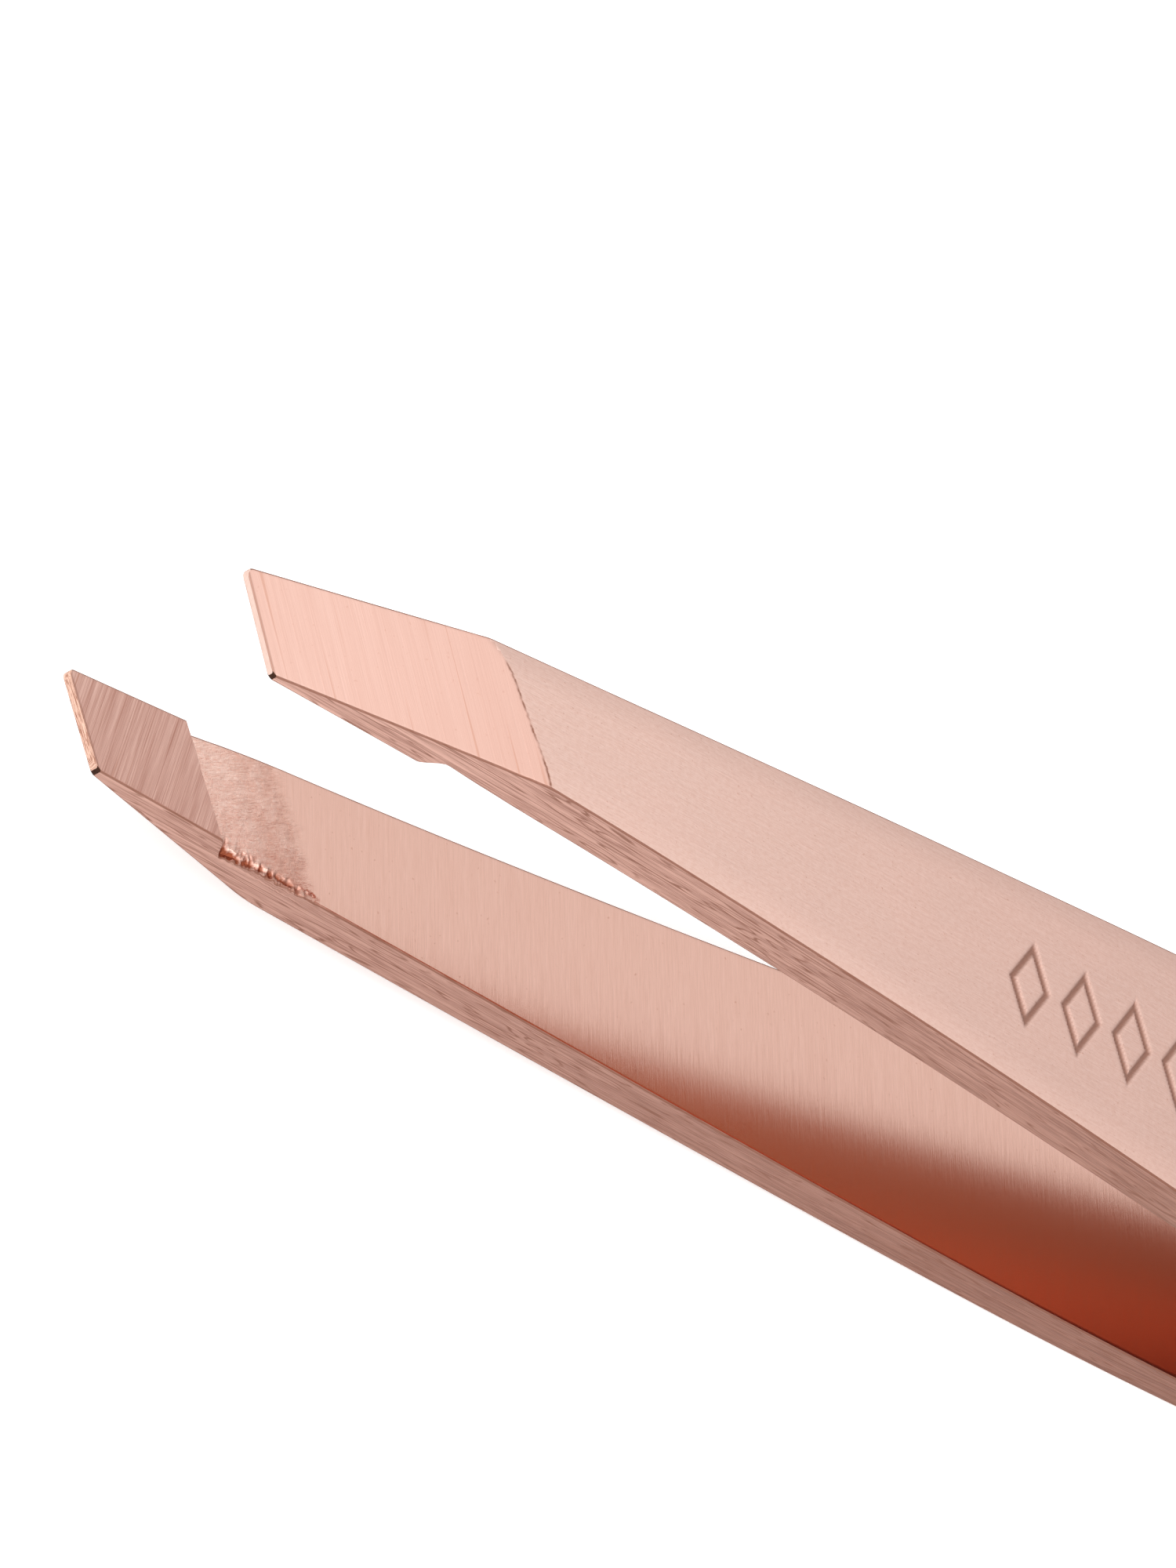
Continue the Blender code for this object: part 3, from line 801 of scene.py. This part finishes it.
def side_material(name, painted_shade_share):
    """Sheared and ground edges: lengthwise streaks and thin wavy laps, their tones set dark and a shade
    deeper rearwards as painted shade.
    """
    s = Shader(name, metallic=0.4)
    wavy = s.noise((0.22, 1, 15), detail=5, roughness=0.7, distortion=0.2)
    fine = s.noise((1.2, 1, 36), detail=2)
    value = s.math("ADD", s.math("MULTIPLY", wavy, 0.7), s.math("MULTIPLY", fine, 0.3))
    slow = s.noise((0.07, 1, 1.6), detail=2, distortion=0.1)
    levels = s.math("FRACT", s.math("MULTIPLY", slow, 16.0))
    laps = s.spread(s.math("ABSOLUTE", s.math("SUBTRACT", levels, 0.5)), 0.17, 0.05)
    broken = s.spread(s.noise((0.18, 1, 3), detail=1), 0.32, 0.48)
    # Painted shade: deeper towards the rear, and by the given share over the whole side.
    rear = s.spread(s.coordinate("X"), *SIDE_PAINTED_SHADE_RUN)
    pale, deep = s.mix(rear, *SIDE_PALE), s.mix(rear, *SIDE_DEEP)
    colour = s.mix(s.spread(value, 0.37, 0.57), deep, pale)
    colour = s.mix(painted_shade_share, colour, deep)
    colour = s.mix(s.math("MULTIPLY", s.math("MULTIPLY", laps, broken), 0.9), colour, DARK_COPPER)
    # Painted shade: dark lines along the rounded edges.
    colour = s.mix(s.painted_shade_and_wear, colour, DARK_COPPER)
    normal = s.bump(value, 0.03 * MM, 0.8)
    return s.finish(colour, s.spread(value, 0.3, 0.7, 0.48, 0.38), normal)


def end_material(name, tones):
    """The filed end of a tip, speckled; its pale tones are partly painted highlight and glints."""
    s = Shader(name, metallic=0.25)
    specks = s.noise((8, 3.2, 8), detail=3, turn=0.5)
    colour = s.mix(s.spread(specks, 0.36, 0.56), *tones)
    return s.finish(colour, s.spread(specks, 0.3, 0.7, 0.42, 0.26), s.bump(specks, 0.02 * MM, 0.5))


def corner_material():
    """The small blunted corner, coloured dark."""
    s = Shader("dark_corner")
    specks = s.noise((9, 9, 9), detail=2)
    colour = s.mix(specks, *CORNER_TONES)
    return s.finish(colour, s.spread(specks, 0.3, 0.7, 0.5, 0.35), s.bump(specks, 0.02 * MM, 0.5))


def weld_material():
    """Grey fused steel, never polished."""
    s = Shader("weld_metal")
    grain = s.add("TexNoise", {"Scale": 2500.0, "Detail": 3.0}).outputs["Fac"]
    colour = s.mix(grain, *WELD_TONES)
    return s.finish(colour, s.spread(grain, 0.3, 0.7, 0.5, 0.7), s.bump(grain, 0.02 * MM, 0.5))


def make_materials():
    facet = {"turn": math.atan(TIP_SLANT), "contrast": 0.22, "bump": 0.012 * MM, "roughness": 0.30}
    pad = {"turn": -0.15, "contrast": 0.15, "bump": 0.03 * MM, "roughness": 0.34}
    return {
        "outer": outer_material(),
        # The facet's rear share is painted shade.
        "facet": ground_material("facet_ground_rose_gold", tones=FACET_TONES, rear_painted_shade=0.6, **facet),
        "pad": ground_material("pad_ground_rose_gold", tones=PAD_TONES, **pad),
        # The inner faces' start and share give painted shade between the arms.
        "upper_inner": inner_material("upper_inner_brushed_rose_gold", 6.0, 1.0),
        "lower_inner": inner_material("lower_inner_brushed_rose_gold", 46.0, 0.35),
        # The side shares are painted shade, larger on the lower arm, which lies by the floor.
        "upper_side": side_material("upper_edge_rose_gold", 0.06),
        "lower_side": side_material("lower_edge_rose_gold", 0.26),
        "upper_end": end_material("filed_tip_with_painted_highlight", UPPER_END_PAINTED_HIGHLIGHT_TONES),
        "lower_end": end_material("filed_tip_with_painted_glints", LOWER_END_PAINTED_GLINT_TONES),
        "corner": corner_material(),
    }


def make_camera(bench):
    place = Vector(bench.place(CAMERA_PLACE))
    back = (place - Vector(bench.place(CAMERA_AIM))).normalized()
    right = Vector(bench.up).cross(back).normalized()
    up = back.cross(right)
    turned_right = right * math.cos(CAMERA_ROLL) + up * math.sin(CAMERA_ROLL)
    turned_up = up * math.cos(CAMERA_ROLL) - right * math.sin(CAMERA_ROLL)
    lens = bpy.data.cameras.new("camera")
    lens.lens = CAMERA_LENS
    lens.sensor_width = 36.0
    lens.clip_start = 5 * MM
    camera = add_object("camera", lens)
    turn = Matrix((turned_right, turned_up, back)).transposed()
    camera.matrix_world = Matrix.Translation(place) @ turn.to_4x4()
    bpy.context.scene.camera = camera


def make_floor():
    """A pale matte light table. Reflections see it darker, as if the tweezers hung clear of it."""
    corners = [(-1, -1, 0), (1, -1, 0), (1, 1, 0), (-1, 1, 0)]
    mesh = bpy.data.meshes.new("floor")
    mesh.from_pydata([Vector(corner) * FLOOR_REACH for corner in corners], [], [(0, 1, 2, 3)])
    material = bpy.data.materials.new("pale_floor")
    material.use_nodes = True
    tree = material.node_tree
    surface = tree.nodes["Principled BSDF"]
    surface.inputs["Roughness"].default_value = 0.9
    surface.inputs["Specular IOR Level"].default_value = 0.0
    surface.inputs["Emission Color"].default_value = (1, 1, 1, 1)
    rays = tree.nodes.new("ShaderNodeLightPath")
    shade = tree.nodes.new("ShaderNodeMix")
    shade.data_type = "RGBA"
    shade.inputs[6].default_value = FLOOR_COLOUR
    shade.inputs[7].default_value = FLOOR_IN_REFLECTIONS
    tree.links.new(rays.outputs["Is Glossy Ray"], shade.inputs[0])
    tree.links.new(shade.outputs[2], surface.inputs["Base Color"])
    glow = tree.nodes.new("ShaderNodeMapRange")
    glow.inputs["To Min"].default_value = FLOOR_GLOW
    glow.inputs["To Max"].default_value = FLOOR_GLOW_IN_REFLECTIONS
    tree.links.new(rays.outputs["Is Glossy Ray"], glow.inputs["Value"])
    tree.links.new(glow.outputs[0], surface.inputs["Emission Strength"])
    mesh.materials.append(material)
    floor = add_object("floor", mesh)


def area_light(name, place, aim, size, power):
    light = bpy.data.lights.new(name, "AREA")
    light.shape = "DISK"
    light.size = size
    light.energy = power
    made = add_object(name, light)
    made.location = place
    made.rotation_mode = "QUATERNION"
    made.rotation_quaternion = (Vector(place) - Vector(aim)).to_track_quat("Z", "Y")


def make_studio():
    """A white tent, brightest overhead, a low soft light before the tips, and a high one to the near side."""
    world = bpy.data.worlds.new("studio")
    bpy.context.scene.world = world
    world.use_nodes = True
    tree = world.node_tree
    tree.nodes["Background"].inputs["Color"].default_value = (1, 1, 1, 1)
    direction = tree.nodes.new("ShaderNodeTexCoord")
    parts = tree.nodes.new("ShaderNodeSeparateXYZ")
    squared = tree.nodes.new("ShaderNodeMath")
    squared.operation = "MULTIPLY"
    strength = tree.nodes.new("ShaderNodeMapRange")
    strength.inputs["To Min"].default_value = TENT_HORIZON
    strength.inputs["To Max"].default_value = TENT_TOP
    tree.links.new(direction.outputs["Generated"], parts.inputs[0])
    tree.links.new(parts.outputs["Z"], squared.inputs[0])
    tree.links.new(parts.outputs["Z"], squared.inputs[1])
    tree.links.new(squared.outputs[0], strength.inputs["Value"])
    tree.links.new(strength.outputs[0], tree.nodes["Background"].inputs["Strength"])
    area_light("softbox", SOFTBOX_PLACE, (0, 0, 0), SOFTBOX_SIZE, SOFTBOX_POWER)
    area_light("fill", FILL_PLACE, (0, 0, 0), FILL_SIZE, FILL_POWER)
    bpy.context.scene.view_settings.view_transform = "Standard"


def main():
    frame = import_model()
    bench = Bench(frame["joints"])
    materials = make_materials()
    for name in SIDES:
        blade = make_arm(Arm(name), bench, materials)
        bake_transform(blade)
        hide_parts(f"{name}_arm", f"{name}_tail")
    weld = weld_material()
    for name in ("weld_nugget_front", "weld_nugget_rear"):
        node = frame["nodes"][name]
        node.data.materials.clear()
        node.data.materials.append(weld)
    make_camera(bench)
    make_floor()
    make_studio()


main()
